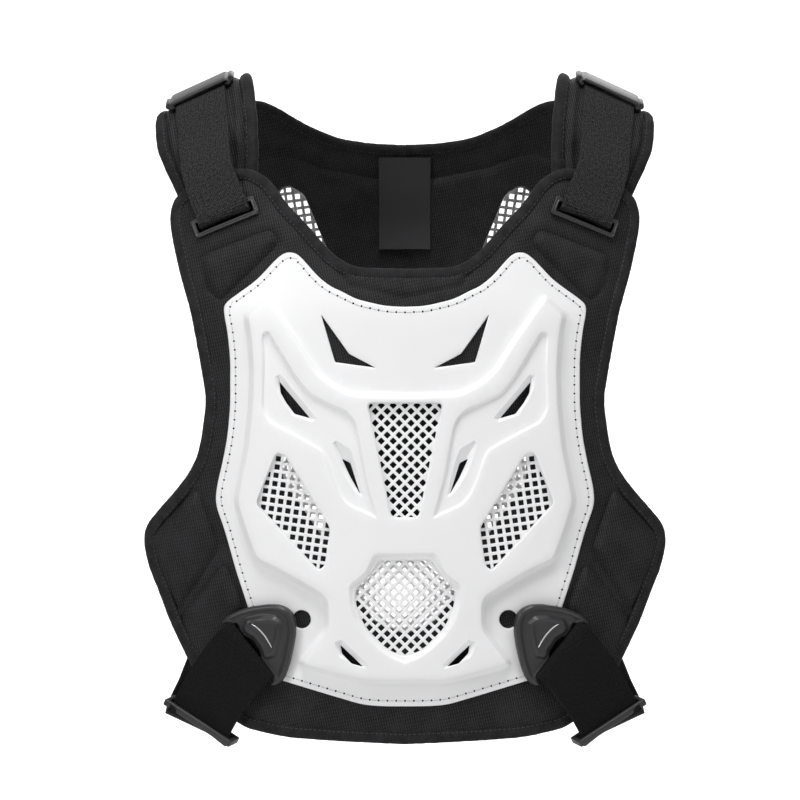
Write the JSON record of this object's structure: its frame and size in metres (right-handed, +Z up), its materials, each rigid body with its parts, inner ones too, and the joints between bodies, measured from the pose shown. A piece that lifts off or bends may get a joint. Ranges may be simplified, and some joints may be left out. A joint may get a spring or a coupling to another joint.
{
  "type": "motorcycle armour vest",
  "caption": "Padded sleeveless vest with a pierced hard chest plate and back plate, padded shoulders, elastic straps and hook buckles.",
  "frame": {"origin": "where the vest sits on the shoulders: in the middle, at the underside of the shoulder pads, between front and back", "axes": "+Z up, -Y out of the chest, +X to the wearer's left"},
  "size_m": [0.384, 0.2386, 0.5111],
  "materials": {
    "white_plate": "injection moulded, satin",
    "padding": "black mesh fabric over foam",
    "edge_tape": "knitted stretch binding",
    "webbing": "woven elastic webbing",
    "black_moulding": "moulded, fine grain",
    "tag": "satin ribbon, bare"
  },
  "bodies": {
    "root": {"front_panel": "padding", "front_edge_tape": "edge_tape", "front_plate": "white_plate", "left_slot_frame": "black_moulding", "right_slot_frame": "black_moulding", "back_panel": "padding", "back_edge_tape": "edge_tape", "back_plate": "white_plate", "left_shoulder_pad": "padding", "right_shoulder_pad": "padding", "left_shoulder_tape": "edge_tape", "right_shoulder_tape": "edge_tape", "left_shoulder_strap": "webbing", "right_shoulder_strap": "webbing", "left_shoulder_clip": "black_moulding", "right_shoulder_clip": "black_moulding", "left_side_buckle": "black_moulding", "right_side_buckle": "black_moulding", "left_side_slider": "black_moulding", "right_side_slider": "black_moulding", "left_side_strap": "webbing", "right_side_strap": "webbing", "neck_tag": "tag"}
  },
  "joints": []
}
